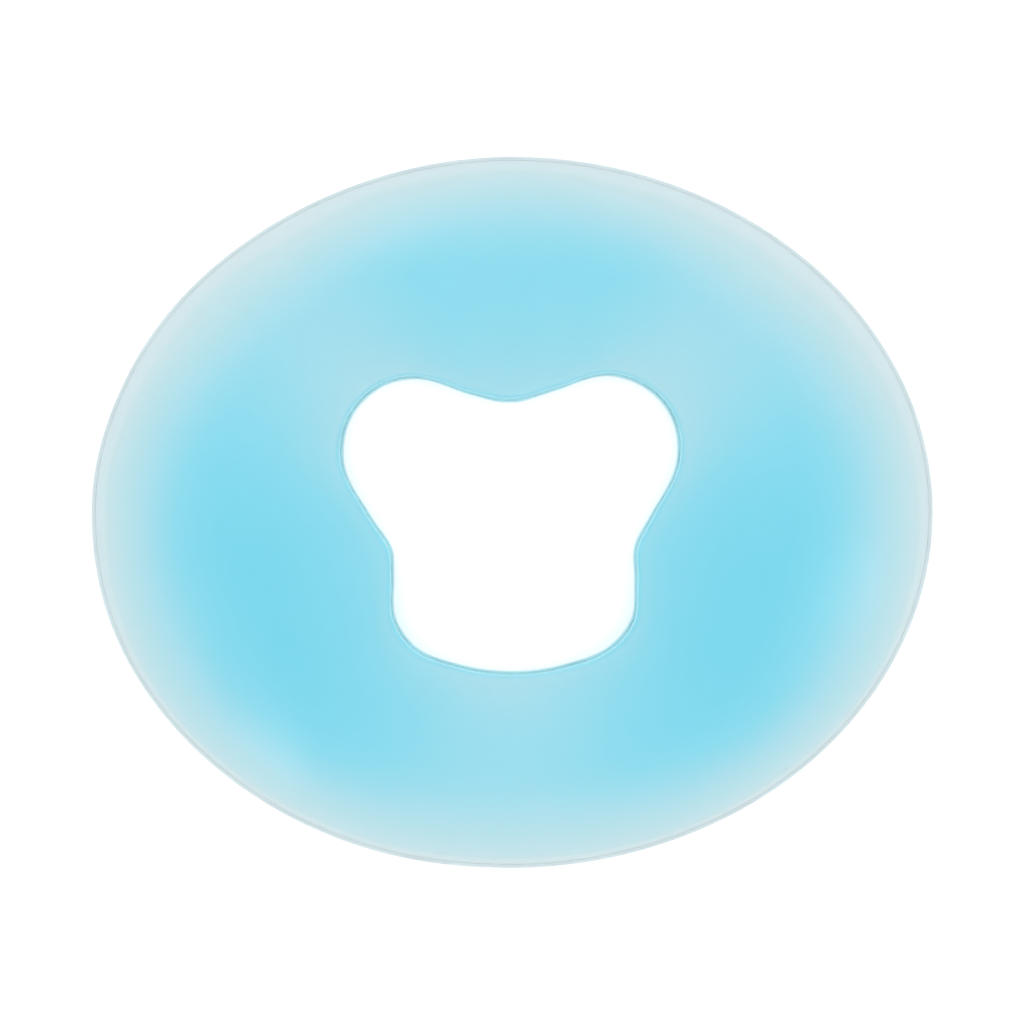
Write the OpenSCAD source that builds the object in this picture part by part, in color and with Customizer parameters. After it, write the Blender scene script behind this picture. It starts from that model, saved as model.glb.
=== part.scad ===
// Gel face pillow: an oval ring of soft gel with a butterfly-shaped opening for eyes, nose and
// mouth. The gel lies between two thin films that are fused along the outer rim and along the
// foot of the opening. Millimetres, +Z up, +Y towards the forehead, origin on the underside
// at the centre of the oval.

/* [Pad] */
// Overall width, cheek to cheek
pad_w = 290; // [260:5:330]
// Overall length, chin to forehead
pad_l = 245; // [220:5:280]

/* [Face opening] */
// Widest span of the opening, across its two eye lobes
open_w = 115; // [90:1:130]
// Height of the opening, from its lower edge to the tops of the lobes
open_l = 101; // [80:1:115]
// Radius of the rounded lip at the top of the opening's wall
lip_r = 2.5; // [1.5:0.1:3]
// Height of the opening's wall beside the cheeks, where the gel is highest
wall_high = 10; // [8:0.1:14]
// Height of the opening's wall beside the temples, where the gel is lowest
wall_low = 6.2; // [5.6:0.1:7.9]

/* [Gel crown] */
// Crown height over the cheeks
cheek_h = 20; // [15:0.5:26]
// Crown height at the forehead
forehead_h = 13.5; // [10:0.5:20]
// Crown height at the temples, beside the eye lobes
temple_h = 9.5; // [8:0.5:14]
// Crown height at the chin
chin_h = 10.5; // [9:0.5:16]
// Where the crown peaks, as a share of the way from the opening to the outer edge
peak_at = 0.47; // [0.35:0.01:0.6]
// The same at the forehead, where the crown stays full further out
forehead_peak = 0.55; // [0.4:0.01:0.65]

/* [Rim] */
// Mean width of the thin flange outside the crown
flange_w = 7.2; // [6:0.1:10]
// Pad thickness where the crown meets the flange
shoulder_h = 3.2; // [2.6:0.1:4]
// Pad thickness at the outer seam
rim_h = 2.2; // [2:0.1:2.6]

/* [Films and seams] */
// Thickness of the top and bottom films
film_t = 0.6; // [0.4:0.1:0.8]
// Width of the fused bead round the outer edge
seam_w = 1.2; // [0.8:0.1:2]
// Width of the fused bead round the foot of the opening
open_seam_w = 1; // [0.9:0.1:1.6]
// Height of the bead round the foot of the opening
open_seam_h = 1.8; // [1.2:0.1:2.2]

/* [Hidden] */

STATIONS = 96;      // sections round the ring, a multiple of 4
LIP_STEPS = 4;      // facets round the lip
RISE_STEPS = 5;     // facets from the lip up to the crown
FALL_STEPS = 7;     // facets from the crown down to the shoulder
FLANGE_STEPS = 2;   // facets from the shoulder out to the seam
BEAD_STEPS = 3;     // facets round each corner of a bead

// Right half of the opening: [direction above the +X axis, distance from the centre]. The notch
// over the nose, the eye lobe, the waist and the lower corner are its turning points.
OPENING = [
  [-90, 54.5], [-70, 55.2], [-55, 56.7], [-42, 54.2], [-30, 47.4], [-16, 43.1],
  [0, 48.5], [18, 60], [35, 63.9], [53, 58], [70, 43.8], [90, 37.8]
];
OPENING_SIZE = [115, 101];   // width and height of the outline above

// Crown height by direction above the +X axis, the same on both sides
CROWN = [
  [-90, chin_h], [-30, cheek_h], [-12, cheek_h], [41, temple_h], [72, forehead_h], [90, forehead_h]
];
// Where the crown peaks across the ring, by the same directions
PEAK = [[-90, peak_at], [41, peak_at], [80, forehead_peak], [90, forehead_peak]];
// Flange width as a share of the mean, by the same directions: narrow round the chin and wide
// at the temples
FLANGE = [[-90, 0.6], [-30, 0.52], [0, 1], [41, 1.54], [90, 1.05]];

FULLNESS = 0.35;                   // 0 lets the crown run out flat, 1 keeps it round to its foot
WALL_IN = open_seam_w - film_t;    // how far the wall film stands back from the bead's face

function ease(t) = t * t * (3 - 2 * t);
function mix(a, b, t) = a + (b - a) * t;

// Index of the key that starts the stretch holding direction a
function key_at(keys, a) = max([for (k = [0 : len(keys) - 2]) if (k == 0 || a >= keys[k][0]) k]);

// Value that eases from one key to the next
function eased(keys, a) =
  let (k = key_at(keys, a), t = (a - keys[k][0]) / (keys[k + 1][0] - keys[k][0]))
  mix(keys[k][1], keys[k + 1][1], ease(t));

// Slope of the curve through the keys at key k, level at both ends
function slope(keys, k) =
  k == 0 || k == len(keys) - 1 ? 0
  : (keys[k + 1][1] - keys[k - 1][1]) / (keys[k + 1][0] - keys[k - 1][0]);

// Value on a smooth cubic curve through the keys
function curved(keys, a) =
  let (
    k = key_at(keys, a),
    span = keys[k + 1][0] - keys[k][0],
    t = (a - keys[k][0]) / span
  )
  mix(keys[k][1], keys[k + 1][1], ease(t))
  + span * t * (1 - t) * ((1 - t) * slope(keys, k) - t * slope(keys, k + 1));

// Direction of a point above the +X axis, folded on to the right half
function lift(p) = atan2(p.y, abs(p.x));

// Point of the opening's edge at station i
function open_point(i) =
  let (
    a = 360 * i / STATIONS,
    r = curved(OPENING, lift([cos(a), sin(a)]))
  )
  [r * cos(a) * open_w / OPENING_SIZE.x, r * sin(a) * open_l / OPENING_SIZE.y];

// Point of the outer oval in the same direction as p
function oval_point(p) = p / norm([2 * p.x / pad_w, 2 * p.y / pad_l]);

OPEN_EDGE = [for (i = [0 : STATIONS - 1]) open_point(i)];
OVAL_EDGE = [for (p = OPEN_EDGE) oval_point(p)];
BAND = [for (i = [0 : STATIONS - 1]) norm(OVAL_EDGE[i] - OPEN_EDGE[i])];

// Point of the plan u outwards from the opening's edge at station i
function plan(i, u) = mix(OPEN_EDGE[i], OVAL_EDGE[i], u / BAND[i]);

// Distance from the opening's edge at which the crown peaks at station i
function peak(i) = eased(PEAK, lift(OPEN_EDGE[i])) * BAND[i];

// Distance from the opening's edge at which the crown meets the flange at station i
function shoulder(i) = BAND[i] - flange_w * eased(FLANGE, lift(OPEN_EDGE[i]));

// Share of the crown that is left at t, from its peak at 0 to its foot at 1
function fall(t) = mix(1 - ease(t), 1 - t * t, FULLNESS);

// Height of the outer surface u outwards from the opening's edge at station i
function top_z(i, u) =
  let (
    crown = eased(CROWN, lift(OPEN_EDGE[i])),
    rise = (crown - temple_h) / (cheek_h - temple_h),
    wall = mix(wall_low, wall_high, max(0, min(1, rise))),
    peak = peak(i),
    shoulder = shoulder(i)
  )
  u < peak ? mix(crown, wall, pow(1 - u / peak, 2))
  : u < shoulder ? mix(shoulder_h, crown, fall((u - peak) / (shoulder - peak)))
  : mix(shoulder_h, rim_h, (u - shoulder) / (BAND[i] - seam_w - shoulder));

// Outer surface of the pad at station i, inset by d: up the wall, over the lip and the crown,
// then down to the outer seam, as [distance from the opening's edge, height]
function top_line(i, d) =
  let (
    centre = WALL_IN + lip_r,
    peak = peak(i),
    shoulder = shoulder(i),
    end = BAND[i] - seam_w,
    r = lip_r - d
  )
  concat(
    [[WALL_IN + d, open_seam_h]],
    [for (k = [0 : LIP_STEPS - 1]) let (t = 90 * k / LIP_STEPS)
      [centre - r * cos(t), top_z(i, centre) - lip_r + r * sin(t)]],
    [for (k = [0 : RISE_STEPS - 1]) let (u = mix(centre, peak, k / RISE_STEPS))
      [u, top_z(i, u) - d]],
    [for (k = [0 : FALL_STEPS - 1]) let (u = mix(peak, shoulder, k / FALL_STEPS))
      [u, top_z(i, u) - d]],
    [for (k = [0 : FLANGE_STEPS]) let (u = mix(shoulder, end, k / FLANGE_STEPS))
      [u, top_z(i, u) - d]]
  );

// Section of a bead from its flat face at u = 0 to its rounded side at u = w, standing on z = 0
function bead(w, h) =
  let (r = 0.45 * w)
  concat(
    [[0, h], [0, 0]],
    [for (k = [0 : BEAD_STEPS]) let (t = 90 * k / BEAD_STEPS)
      [w - r + r * sin(t), r - r * cos(t)]],
    [for (k = [0 : BEAD_STEPS]) let (t = 90 * k / BEAD_STEPS)
      [w - r + r * cos(t), h - r + r * sin(t)]]
  );

function reversed(v) = [for (k = [len(v) - 1 : -1 : 0]) v[k]];

// Closed ring through one section per station. Each section runs clockwise seen along the ring,
// with the opening on its left. From point turn onwards the quads split along the other diagonal,
// so that two rings that share a surface share its triangles too.
module ring(sections, turn) {
  m = len(sections[0]);
  points = [
    for (i = [0 : STATIONS - 1]) for (s = sections[i])
      let (p = plan(i, s[0])) [p.x, p.y, s[1]]
  ];
  faces = [
    for (i = [0 : STATIONS - 1]) for (j = [0 : m - 1])
      let (
        n = (i + 1) % STATIONS,
        k = (j + 1) % m,
        a = i * m + j, b = i * m + k, c = n * m + k, d = n * m + j
      )
      for (f = j < turn ? [[a, c, b], [a, d, c]] : [[a, d, b], [b, d, c]]) f
  ];
  polyhedron(points, faces, convexity = 6);
}

// Upper film: crowned over the gel and turned down the wall of the opening
module top_skin() {
  sections = [
    for (i = [0 : STATIONS - 1]) concat(top_line(i, 0), reversed(top_line(i, film_t)))
  ];
  color([0.80, 0.93, 0.95]) ring(sections, len(top_line(0, 0)));
}

// Soft gel filling between the two films
module gel_core() {
  sections = [
    for (i = [0 : STATIONS - 1])
      let (top = top_line(i, film_t))
      concat(top, [[BAND[i] - seam_w, film_t], [open_seam_w, film_t]])
  ];
  color([0.50, 0.85, 0.93]) ring(sections, len(sections[0]));
}

// Lower film: flat on the table
module base_skin() {
  color([0.74, 0.90, 0.93]) linear_extrude(film_t) difference() {
    polygon([for (i = [0 : STATIONS - 1]) plan(i, BAND[i] - seam_w)]);
    polygon([for (i = [0 : STATIONS - 1]) plan(i, open_seam_w)]);
  }
}

// Fused bead round the trimmed outer edge
module outer_seam() {
  sections = [
    for (i = [0 : STATIONS - 1])
      reversed([for (s = bead(seam_w, rim_h)) [BAND[i] - seam_w + s[0], s[1]]])
  ];
  color([0.78, 0.88, 0.90]) ring(sections, len(sections[0]));
}

// Fused bead round the foot of the opening's wall
module opening_seam() {
  sections = [
    for (i = [0 : STATIONS - 1])
      [for (s = bead(open_seam_w, open_seam_h)) [open_seam_w - s[0], s[1]]]
  ];
  color([0.60, 0.87, 0.92]) ring(sections, len(sections[0]));
}

top_skin();
gel_core();
base_skin();
outer_seam();
opening_seam();
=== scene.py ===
import math

import bpy
import numpy as np
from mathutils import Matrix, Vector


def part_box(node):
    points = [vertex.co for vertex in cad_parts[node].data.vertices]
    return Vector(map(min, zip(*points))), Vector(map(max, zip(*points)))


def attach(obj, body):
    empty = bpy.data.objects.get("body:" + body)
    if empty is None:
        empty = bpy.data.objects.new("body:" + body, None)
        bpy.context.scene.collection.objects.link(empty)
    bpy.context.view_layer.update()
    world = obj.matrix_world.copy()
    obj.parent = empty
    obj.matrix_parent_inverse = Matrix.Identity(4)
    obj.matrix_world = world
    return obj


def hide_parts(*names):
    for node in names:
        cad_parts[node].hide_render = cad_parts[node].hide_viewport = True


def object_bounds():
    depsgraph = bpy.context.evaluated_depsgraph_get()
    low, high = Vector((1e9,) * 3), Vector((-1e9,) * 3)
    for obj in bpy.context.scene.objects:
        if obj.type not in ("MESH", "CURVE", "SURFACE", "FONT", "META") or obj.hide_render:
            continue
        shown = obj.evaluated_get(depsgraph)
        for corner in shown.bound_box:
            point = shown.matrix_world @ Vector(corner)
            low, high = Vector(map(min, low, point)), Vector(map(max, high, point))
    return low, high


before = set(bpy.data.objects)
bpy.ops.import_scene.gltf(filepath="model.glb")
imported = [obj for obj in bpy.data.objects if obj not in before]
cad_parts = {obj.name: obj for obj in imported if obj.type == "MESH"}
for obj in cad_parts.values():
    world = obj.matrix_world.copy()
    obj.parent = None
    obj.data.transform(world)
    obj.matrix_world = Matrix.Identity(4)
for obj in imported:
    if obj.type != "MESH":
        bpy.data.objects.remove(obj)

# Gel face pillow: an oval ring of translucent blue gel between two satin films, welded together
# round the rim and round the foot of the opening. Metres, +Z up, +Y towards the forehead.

CAD_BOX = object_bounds()
MM = 0.001

# ---------------------------------------------------------------- sizes
# They come from the frame where it gives them, and are otherwise the CAD model's own.
HALF_W, HALF_L = CAD_BOX[1].x, CAD_BOX[1].y           # outer oval
RIM_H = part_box("outer_seam")[1].z                     # pad thickness at the outer seam
FOOT_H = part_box("opening_seam")[1].z                  # height of the bead at the opening's foot
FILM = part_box("base_skin")[1].z                       # film thickness
SEAM_W = HALF_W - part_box("base_skin")[1].x            # width of the outer bead
CHEEK_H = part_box("top_skin")[1].z                     # crown over the cheeks
FOREHEAD_H, TEMPLE_H, CHIN_H = 13.5 * MM, 9.5 * MM, 10.5 * MM
WALL_HIGH, WALL_LOW = 10 * MM, 6.2 * MM               # the opening's wall, cheeks and temples
SHOULDER_H = 3.2 * MM                                 # where the crown meets the flange
OPEN_SEAM_W = 1.0 * MM                                # width of the bead at the opening's foot
WALL_IN = OPEN_SEAM_W - FILM                          # the wall stands back from its bead
LIP_R = 2.5 * MM                                      # rounded top of the wall
PEAK_AT, FOREHEAD_PEAK = 0.47, 0.55                   # the crown's peak across the band
FLANGE_W = 7.2 * MM                                   # mean width of the thin flange
FULLNESS = 0.35                                       # how round the crown stays to its foot
BEAD_ROUND = 0.45                                     # corner radius of a bead, per width

# Keys by direction above the +X axis in degrees, the same on both sides. The opening's edge, in
# millimetres from the centre, turns at its lower corner, waist, eye lobe and notch over the nose.
OPENING = [
    (-90, 54.5), (-70, 55.2), (-55, 56.7), (-42, 54.2), (-30, 47.4), (-16, 43.1),
    (0, 48.5), (18, 60), (35, 63.9), (53, 58), (70, 43.8), (90, 37.8),
]
# Height of the crown
CROWN = [
    (-90, CHIN_H), (-30, CHEEK_H), (-12, CHEEK_H),
    (41, TEMPLE_H), (72, FOREHEAD_H), (90, FOREHEAD_H),
]
# Where the crown peaks across the band
PEAKS = [(-90, PEAK_AT), (41, PEAK_AT), (80, FOREHEAD_PEAK), (90, FOREHEAD_PEAK)]
# Flange width as a share of the mean
FLANGE = [(-90, 0.6), (-30, 0.52), (0, 1), (41, 1.54), (90, 1.05)]

# ---------------------------------------------------------------- details past the CAD model
GAP = 0.03 * MM                                       # between pieces that lie on each other
LIP_DEPTH = 3.0 * MM                                  # how much deeper the colour is on the lip
LIP_PAINTED_GLOW = 0.4                                        # painted glow where the lip starts, standing in for light coming out through the gel

# How far the hand-trimmed edge runs outside the true oval, by direction right round the pad
TRIM = [
    (-180, 0), (-160, 0.8 * MM), (-115, 1.0 * MM), (-90, 0.25 * MM), (-60, 0), (-30, -0.1 * MM),
    (0, 0.1 * MM), (45, -0.45 * MM), (90, 0), (135, -1.4 * MM), (160, -1.1 * MM), (180, 0),
]
# The same for the opening's edge, which the mould leaves a little uneven
OPEN_TRIM = [
    (-180, 1.0 * MM), (-150, -0.4 * MM), (-120, 0.5 * MM), (-60, 0.45 * MM), (-32, 1.4 * MM),
    (8, -0.3 * MM), (30, 0.15 * MM), (68, 0.9 * MM), (88, 0.1 * MM), (105, -0.5 * MM),
    (120, -0.9 * MM), (138, 0.2 * MM), (168, 1.3 * MM), (180, 1.0 * MM),
]

# The top's slight unevenness: length of each wave in millimetres, its heading and its phase in
# radians. The waves fade out this far from the opening and from the outer seam.
WAVES = [(52, 0.4, 1.1), (41, 1.9, 4.0), (33, 2.7, 2.2), (27, 1.2, 0.3), (22, 0.1, 5.1)]
WAVE_H, WAVE_LENGTH = 0.07 * MM, 40                   # height of a wave of that many millimetres
FADE_IN, FADE_OUT = 12 * MM, 18 * MM

# Fineness of the meshes: sections round the ring, and faces along each stretch of a section
STATIONS = 360
WALL_STEPS, LIP_STEPS, RISE_STEPS, FALL_STEPS, FLANGE_STEPS = 8, 12, 20, 28, 12
GEL_BASE_STEPS, FILM_BASE_STEPS, BEAD_STEPS = 40, 24, 6
SHARP = 50                                            # degrees at which a corner stays crisp


# ---------------------------------------------------------------- curves
def mix(a, b, t):
    return a + (b - a) * t


def ease(t):
    return t * t * (3 - 2 * t)


def stretch(keys, a):
    """The keys as arrays, the stretch that holds each direction, and how far along it lies."""
    x, y = np.array(keys, float).T
    k = np.clip(np.searchsorted(x, a, "right") - 1, 0, len(x) - 2)
    return x, y, k, (a - x[k]) / (x[k + 1] - x[k])


def eased(keys, a):
    """Value that eases from one key to the next."""
    _, y, k, t = stretch(keys, a)
    return mix(y[k], y[k + 1], ease(t))


def curved(keys, a):
    """Value on a smooth cubic curve through the keys, level at both ends."""
    x, y, k, t = stretch(keys, a)
    slope = np.zeros(len(x))
    slope[1:-1] = (y[2:] - y[:-2]) / (x[2:] - x[:-2])
    bend = (1 - t) * slope[k] - t * slope[k + 1]
    return mix(y[k], y[k + 1], ease(t)) + (x[k + 1] - x[k]) * t * (1 - t) * bend


# ---------------------------------------------------------------- plan of the pad
ANGLE = np.arange(STATIONS) * 2 * math.pi / STATIONS
AHEAD = np.stack([np.cos(ANGLE), np.sin(ANGLE)], 1)
LIFT = np.degrees(np.arctan2(AHEAD[:, 1], np.abs(AHEAD[:, 0])))
ROUND = np.degrees(np.arctan2(AHEAD[:, 1], AHEAD[:, 0]))
OPEN_R = curved(OPENING, LIFT) * MM + eased(OPEN_TRIM, ROUND)
OVAL_R = 1 / np.hypot(AHEAD[:, 0] / HALF_W, AHEAD[:, 1] / HALF_L) + eased(TRIM, ROUND)
BAND = OVAL_R - OPEN_R
CROWN_H = eased(CROWN, LIFT)
WALL_H = mix(WALL_LOW, WALL_HIGH, np.clip((CROWN_H - TEMPLE_H) / (CHEEK_H - TEMPLE_H), 0, 1))
PEAK = eased(PEAKS, LIFT) * BAND
SHOULDER = BAND - FLANGE_W * eased(FLANGE, LIFT)
END = BAND - SEAM_W


def plan(u):
    """Points u outwards from the opening's edge, one for each station."""
    return AHEAD * (OPEN_R + u)[:, None]


def fall(t):
    """Share of the crown that is left at t, from its peak at 0 to its foot at 1."""
    return mix(1 - ease(t), 1 - t * t, FULLNESS)


def waves(u):
    """Slight unevenness of the filled pad, in metres, fading out towards both seams."""
    x, y = plan(u).T
    total = sum(
        math.sqrt(length / WAVE_LENGTH) * np.sin(
            2 * math.pi * (x * math.cos(turn) + y * math.sin(turn)) / (length * MM) + phase
        )
        for length, turn, phase in WAVES
    )
    fade = np.clip(u / FADE_IN, 0, 1) * np.clip((END - u) / FADE_OUT, 0, 1)
    return WAVE_H * total * ease(fade)


def top_z(u):
    """Height of the pad's outer surface u outwards from the opening's edge."""
    u = u + np.zeros(STATIONS)
    rise = mix(CROWN_H, WALL_H, np.clip(1 - u / PEAK, 0, 1) ** 2)
    drop = mix(SHOULDER_H, CROWN_H, fall(np.clip((u - PEAK) / (SHOULDER - PEAK), 0, 1)))
    flange = mix(SHOULDER_H, RIM_H, np.clip((u - SHOULDER) / (END - SHOULDER), 0, 1))
    return np.where(u < PEAK, rise, np.where(u < SHOULDER, drop, flange)) + waves(u)


def top_rows(inset, rim_inset, foot, stop):
    """Rows of the outer surface set in by inset, from the foot of the wall out to stop, where
    rim_inset is left of it: a list of (u, z, depth, painted glow). Depth is the thickness that
    the colour follows. The painted glow, 1 at the wall's foot, is how far the colour is painted
    paler there, standing in for light coming out through the wall."""
    centre = WALL_IN + LIP_R
    lip_z = top_z(np.full(STATIONS, centre))
    r = LIP_R - inset
    rows = []
    for t in np.linspace(0, 1, WALL_STEPS + 1)[:-1]:
        z = mix(foot, lip_z - LIP_R, t)
        rows.append((np.full(STATIONS, WALL_IN + inset), z, lip_z, mix(1, LIP_PAINTED_GLOW, t)))
    for t in np.linspace(0, math.pi / 2, LIP_STEPS + 1)[:-1]:
        u = np.full(STATIONS, centre - r * math.cos(t))
        depth = lip_z + LIP_DEPTH * math.sin(2 * t) ** 2
        rows.append((u, lip_z - LIP_R + r * math.sin(t), depth, LIP_PAINTED_GLOW * math.cos(t) ** 5))
    for a, b, steps in ((centre, PEAK, RISE_STEPS), (PEAK, SHOULDER, FALL_STEPS)):
        for t in np.linspace(0, 1, steps + 1)[:-1]:
            u = mix(a, b, t) + np.zeros(STATIONS)
            rows.append((u, top_z(u) - inset, top_z(u), 0))
    for t in np.linspace(0, 1, FLANGE_STEPS + 1):
        u = mix(SHOULDER, stop, t)
        rows.append((u, top_z(u) - mix(inset, rim_inset, ease(t)), top_z(u), 0))
    return rows


# ---------------------------------------------------------------- meshes
def ring_mesh(name, rows):
    """Closed ring of quads through rows of points that run once round its section. Each point
    keeps its depth and its painted glow for the material."""
    points, depths, painted_glows = [], [], []
    for row in rows:
        u, z, depth, painted_glow = (np.broadcast_to(v, STATIONS) for v in row)
        points.append(np.column_stack([plan(u), z]))
        depths.append(depth)
        painted_glows.append(painted_glow)
    faces = []
    for index in range(len(rows)):
        a, b = index * STATIONS, (index + 1) % len(rows) * STATIONS
        for i in range(STATIONS):
            after = (i + 1) % STATIONS
            faces.append((a + i, b + i, b + after, a + after))
    mesh = bpy.data.meshes.new(name)
    mesh.from_pydata(np.concatenate(points).tolist(), [], faces)
    for layer_name, values in (("depth", depths), ("painted_glow", painted_glows)):
        layer = mesh.attributes.new(layer_name, "FLOAT", "POINT")
        layer.data.foreach_set("value", np.concatenate(values).astype(np.float32))
    mesh.validate()
    mesh.shade_smooth()
    mesh.set_sharp_from_angle(angle=math.radians(SHARP))
    return mesh


def add_object(name, data):
    obj = bpy.data.objects.new(name, data)
    bpy.context.scene.collection.objects.link(obj)
    return obj


def piece(node, rows, material):
    """Ring that stands for one CAD node, has its name, and rides on the only body."""
    mesh = ring_mesh(node, rows)
    mesh.materials.append(material)
    obj = add_object(mesh.name, mesh)
    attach(obj, "root")
    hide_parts(node)
    return obj


# ---------------------------------------------------------------- materials
TONE = 0.80
WHITE = 255                                           # full brightness on screen


def linear(r, g, b):
    """A colour given as 0 to 255 on screen under this studio's light, as Blender's linear values.
    The light is strong enough to wash the floor out to white, so the colours are toned down."""
    return tuple(TONE * ((c / WHITE + 0.055) / 1.055) ** 2.4 for c in (r, g, b)) + (1.0,)


# The gel's colour on screen by its thickness in millimetres
GEL_COLOURS = [
    (2.2, (218, 231, 233)), (2.65, (215, 231, 233)), (2.85, (206, 228, 231)),
    (3.2, (200, 227, 232)), (4.6, (187, 225, 232)), (9.5, (158, 221, 235)),
    (13.5, (133, 218, 236)), (20, (109, 213, 234)),
]
PAINTED_GLOW = (0.44, 0.86, 0.93, 1.0)                        # painted glow: paler colour of gel and bead where light would come through
FILM_ALPHA = 0.05
FILM_COLOUR = (166, 228, 245)
FILM_CLOUD = 5                                        # how much paler a cloudier patch is
# Outer bead, darker than the flange: painted shade for the darkening along the pad's edge
OUTER_SEAM_SHADED = (202, 219, 223)
OPENING_SEAM = (191, 233, 242)
SEAM_CLOUD = 6                                        # paler and darker patches along a seam


class Nodes:
    """A material with its node tree, and short ways to add to it."""

    def __init__(self, name):
        self.material = bpy.data.materials.new(name)
        self.material.use_nodes = True
        self.tree = self.material.node_tree
        self.shader = self.tree.nodes["Principled BSDF"]

    def add(self, kind, **settings):
        node = self.tree.nodes.new(kind)
        for key, value in settings.items():
            setattr(node, key, value)
        return node

    def link(self, a, b):
        self.tree.links.new(a, b)

    def noise(self, scale, detail=3.0):
        """Noise by place on the object, with scale in features per metre."""
        where = self.add("ShaderNodeTexCoord")
        noise = self.add("ShaderNodeTexNoise")
        noise.inputs["Scale"].default_value = scale
        noise.inputs["Detail"].default_value = detail
        self.link(where.outputs["Object"], noise.inputs["Vector"])
        return noise.outputs["Fac"]

    def spread(self, value, low, high):
        """The middle of a noise's range stretched over low to high."""
        node = self.add("ShaderNodeMapRange")
        ends = (("From Min", 0.3), ("From Max", 0.7), ("To Min", low), ("To Max", high))
        for socket, number in ends:
            node.inputs[socket].default_value = number
        self.link(value, node.inputs["Value"])
        return node.outputs["Result"]

    def mixed(self, factor, a, b):
        """Colour from a to b, each a constant or an output."""
        node = self.add("ShaderNodeMix", data_type="RGBA")
        for socket, colour in (("A", a), ("B", b)):
            if isinstance(colour, tuple):
                node.inputs[socket].default_value = colour
            else:
                self.link(colour, node.inputs[socket])
        self.link(factor, node.inputs["Factor"])
        return node.outputs["Result"]

    def stored(self, layer):
        """Value that the mesh keeps at each point."""
        return self.add("ShaderNodeAttribute", attribute_name=layer).outputs["Fac"]

    def bump(self, value, strength, distance):
        node = self.add("ShaderNodeBump")
        node.inputs["Strength"].default_value = strength
        node.inputs["Distance"].default_value = distance
        self.link(value, node.inputs["Height"])
        self.link(node.outputs["Normal"], self.shader.inputs["Normal"])

    def set(self, **values):
        for key, value in values.items():
            self.shader.inputs[key.replace("_", " ")].default_value = value


def gel_material():
    """Blue gel, deeper in colour the thicker it is and a little cloudy, with a painted glow that
    makes its wall paler.
    """
    m = Nodes("gel")
    uneven = m.add("ShaderNodeMath", operation="MULTIPLY")
    m.link(m.stored("depth"), uneven.inputs[0])
    m.link(m.spread(m.noise(22, detail=2.0), low=0.97, high=1.03), uneven.inputs[1])
    scaled = m.add("ShaderNodeMath", operation="DIVIDE")
    m.link(uneven.outputs[0], scaled.inputs[0])
    scaled.inputs[1].default_value = CHEEK_H
    ramp = m.add("ShaderNodeValToRGB")
    elements = ramp.color_ramp.elements
    while len(elements) < len(GEL_COLOURS):
        elements.new(0.5)
    for element, (at, colour) in zip(elements, GEL_COLOURS):
        element.position = at * MM / CHEEK_H
        element.color = linear(*colour)
    m.link(scaled.outputs[0], ramp.inputs["Fac"])
    # Painted glow: the colour turns paler towards the wall's foot, standing in for light coming
    # out through the wall
    colour = m.mixed(m.stored("painted_glow"), ramp.outputs["Color"], PAINTED_GLOW)
    m.link(colour, m.shader.inputs["Base Color"])
    m.link(m.spread(m.noise(60), low=0.32, high=0.42), m.shader.inputs["Roughness"])
    m.bump(m.noise(180, detail=2.0), strength=0.15, distance=0.2 * MM)
    m.set(
        Subsurface_Weight=0.25, Subsurface_Radius=(0.5, 1.0, 1.2), Subsurface_Scale=2 * MM,
        IOR=1.41, Coat_Weight=0.35, Coat_Roughness=0.22,
    )
    return m.material


def film_material(name):
    """Clear film with a satin face: a fine even grain, a little cloudier here and there."""
    m = Nodes(name)
    cloudy = linear(*[c + FILM_CLOUD for c in FILM_COLOUR])
    tint = m.mixed(m.spread(m.noise(40), low=0, high=1), linear(*FILM_COLOUR), cloudy)
    m.link(tint, m.shader.inputs["Base Color"])
    m.link(m.spread(m.noise(90), low=0.33, high=0.43), m.shader.inputs["Roughness"])
    m.bump(m.noise(1500, detail=2.0), strength=0.08, distance=0.05 * MM)
    m.set(Alpha=FILM_ALPHA, IOR=1.45)
    return m.material


def seam_material(name, colour, inner):
    """Fused film edge: denser and a little duller than the film, uneven along its length, and
    turning to the inner colour towards the gel. The outer bead's colour is also darker as painted
    shade for the darkening along the pad's edge, and on the opening's bead the inner colour is a
    painted glow."""
    m = Nodes(name)
    dark, pale = (linear(*[c + step for c in colour]) for step in (-SEAM_CLOUD, SEAM_CLOUD))
    tint = m.mixed(m.spread(m.noise(70), low=0, high=1), dark, pale)
    # Painted glow towards the gel: on the opening's bead the inner colour is the painted glow
    # colour
    m.link(m.mixed(m.stored("painted_glow"), tint, inner), m.shader.inputs["Base Color"])
    m.link(m.spread(m.noise(200), low=0.4, high=0.5), m.shader.inputs["Roughness"])
    m.bump(m.noise(900, detail=2.0), strength=0.2, distance=0.05 * MM)
    m.set(
        Subsurface_Weight=0.15, Subsurface_Radius=(0.6, 1.0, 1.1), Subsurface_Scale=1 * MM,
        IOR=1.45,
    )
    return m.material


# ---------------------------------------------------------------- pieces
def gel_core():
    """Soft filling, from the wall of the opening out to the outer seam."""
    inner, outer = OPEN_SEAM_W + GAP, END - GAP
    rows = top_rows(FILM + GAP, 2 * GAP, FOOT_H, outer)
    for t in np.linspace(1, 0, GEL_BASE_STEPS + 1):
        u = mix(inner, outer, t)
        rows.append((u, FILM + GAP, top_z(u), 0))
    piece("gel_core", rows, gel_material())


def top_skin():
    """Upper film over the gel, thinning out where it meets the lower one at the rim."""
    outer = END - GAP / 2
    rows = top_rows(0, 0, FOOT_H, outer) + top_rows(FILM, GAP, FOOT_H, outer)[::-1]
    piece("top_skin", rows, film_material("film_top"))


def base_skin():
    """Lower film, flat on the table."""
    rows = []
    across = np.linspace(0, 1, FILM_BASE_STEPS + 1)
    for z, shares in ((FILM, across), (0.0, across[::-1])):
        for t in shares:
            u = mix(OPEN_SEAM_W + GAP / 2, END - GAP / 2, t)
            rows.append((u, z, top_z(u), 0))
    piece("base_skin", rows, film_material("film_base"))


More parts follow.
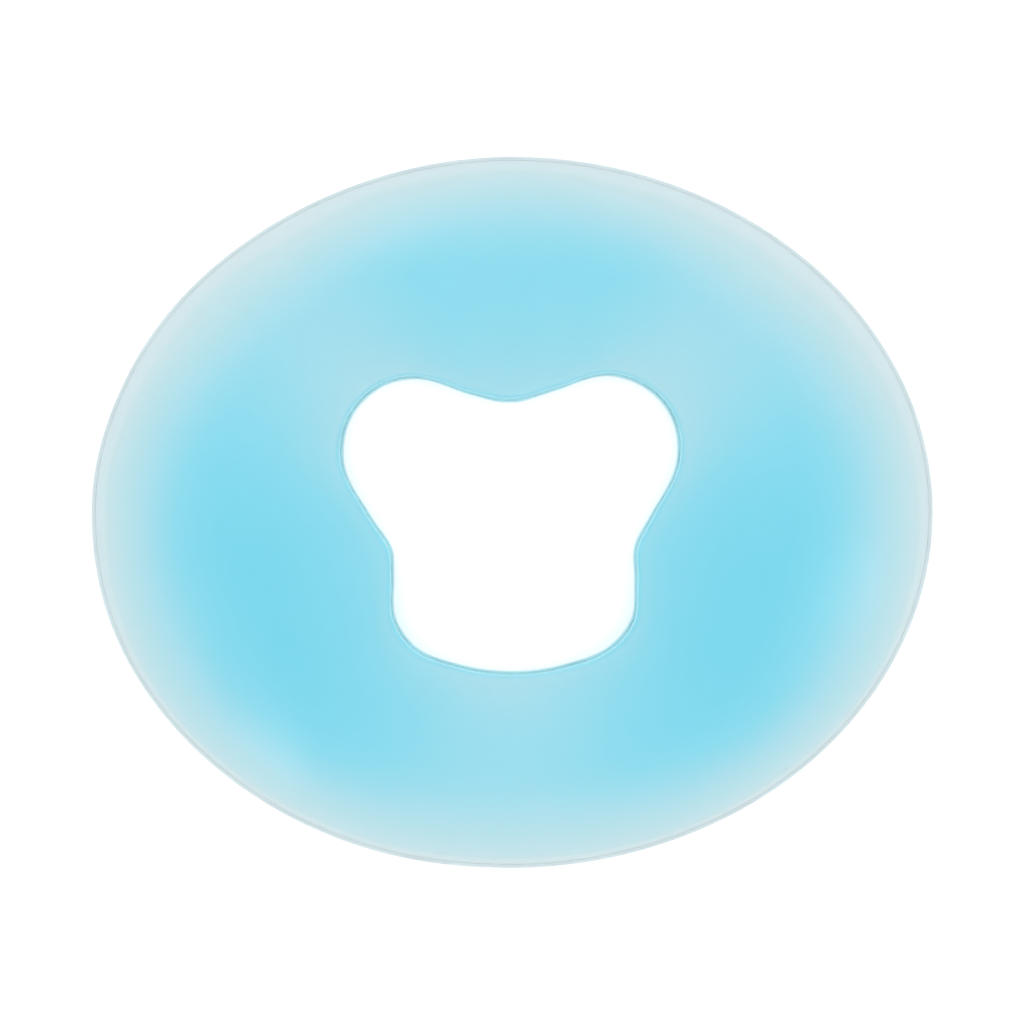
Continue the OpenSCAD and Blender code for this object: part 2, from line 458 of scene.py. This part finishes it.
def bead_rows(width, height, flat_at, way):
    """Section of a bead from its flat face at flat_at, with its free side rounded and way, 1 or
    -1, the direction it faces. Its painted glow is full at its flat face, where it meets the gel."""
    r = BEAD_ROUND * width
    rows = [(flat_at, z, height, 1) for z in (height, height / 2, 0.0)]
    for corner_z, start in ((r, -90), (height - r, 0)):
        for t in np.radians(np.linspace(start, start + 90, BEAD_STEPS + 1)):
            u = flat_at + way * (width - r + r * math.cos(t))
            rows.append((u, corner_z + r * math.sin(t), height, 0))
    return rows


def outer_seam():
    """Fused bead round the trimmed outer edge."""
    rows = bead_rows(SEAM_W, RIM_H, END, 1)[::-1]
    material = seam_material("seam_outer", OUTER_SEAM_SHADED, linear(*OUTER_SEAM_SHADED))
    piece("outer_seam", rows, material)


def opening_seam():
    """Fused bead round the foot of the opening's wall."""
    rows = bead_rows(OPEN_SEAM_W, FOOT_H, OPEN_SEAM_W, -1)
    # Painted glow colour on the bead's face against the gel
    piece("opening_seam", rows, seam_material("seam_opening", OPENING_SEAM, PAINTED_GLOW))


# ---------------------------------------------------------------- studio
FLOOR_HALF, FLOOR_Z = 8.0, -0.02 * MM
FLOOR_GREY = 0.95
SKY_STRENGTH = 1.36                                   # washes the floor out to white
SKY_BAND = ((0.18, 1.0), (0.27, 0.4), (0.52, 1.0))    # height and grey of the ring round the dome
LIGHT_SIZE = 0.3
LIGHTS = (                                            # place in metres, and watts
    ("key", (-0.35, 0.95, 0.34), 0.9),
    ("side", (0.95, -0.2, 0.4), 0.6),
    ("front", (-0.6, -0.8, 0.4), 0.5),
)
SENSOR, LENS = 36, 100                                # millimetres
VIEW_W = 0.3532                                       # width of the view at the pad's rim


def floor():
    mesh = bpy.data.meshes.new("floor")
    s, z = FLOOR_HALF, FLOOR_Z
    mesh.from_pydata([(-s, -s, z), (s, -s, z), (s, s, z), (-s, s, z)], [], [(0, 1, 2, 3)])
    m = Nodes("floor_paper")
    m.set(Base_Color=(FLOOR_GREY, FLOOR_GREY, FLOOR_GREY, 1), Roughness=0.9)
    mesh.materials.append(m.material)
    add_object("floor", mesh)


def area_light(name, position, watts):
    """Round light that shines at the origin."""
    data = bpy.data.lights.new(name, "AREA")
    data.shape, data.size, data.energy = "DISK", LIGHT_SIZE, watts
    obj = add_object(name, data)
    obj.location = position
    obj.rotation_mode = "QUATERNION"
    obj.rotation_quaternion = (-obj.location).to_track_quat("-Z", "Y")


def sky():
    """Bright dome with a greyer ring low down, which gives the pad's sides their shading."""
    world = bpy.data.worlds.new("soft_white")
    bpy.context.scene.world = world
    world.use_nodes = True
    nodes, links = world.node_tree.nodes, world.node_tree.links
    direction = nodes.new("ShaderNodeTexCoord")
    split = nodes.new("ShaderNodeSeparateXYZ")
    ramp = nodes.new("ShaderNodeValToRGB")
    ramp.color_ramp.interpolation = "EASE"
    elements = ramp.color_ramp.elements
    for height, grey in SKY_BAND:
        elements.new(height).color = (grey, grey, grey, 1)
    elements[0].color = elements[-1].color = (1, 1, 1, 1)
    links.new(direction.outputs["Generated"], split.inputs["Vector"])
    links.new(split.outputs["Z"], ramp.inputs["Fac"])
    links.new(ramp.outputs["Color"], nodes["Background"].inputs["Color"])
    nodes["Background"].inputs["Strength"].default_value = SKY_STRENGTH


def studio():
    sky()
    for light in LIGHTS:
        area_light(*light)
    scene = bpy.context.scene
    scene.view_settings.view_transform = "Standard"
    scene.cycles.transparent_max_bounces = 24


def camera():
    """Straight above the pad, as far off as a product photograph is taken from."""
    data = bpy.data.cameras.new("camera")
    data.sensor_width, data.lens = SENSOR, LENS
    obj = add_object("camera", data)
    obj.location = (0, 0, RIM_H + VIEW_W * LENS / SENSOR)
    bpy.context.scene.camera = obj


camera()
floor()
studio()
gel_core()
top_skin()
base_skin()
outer_seam()
opening_seam()
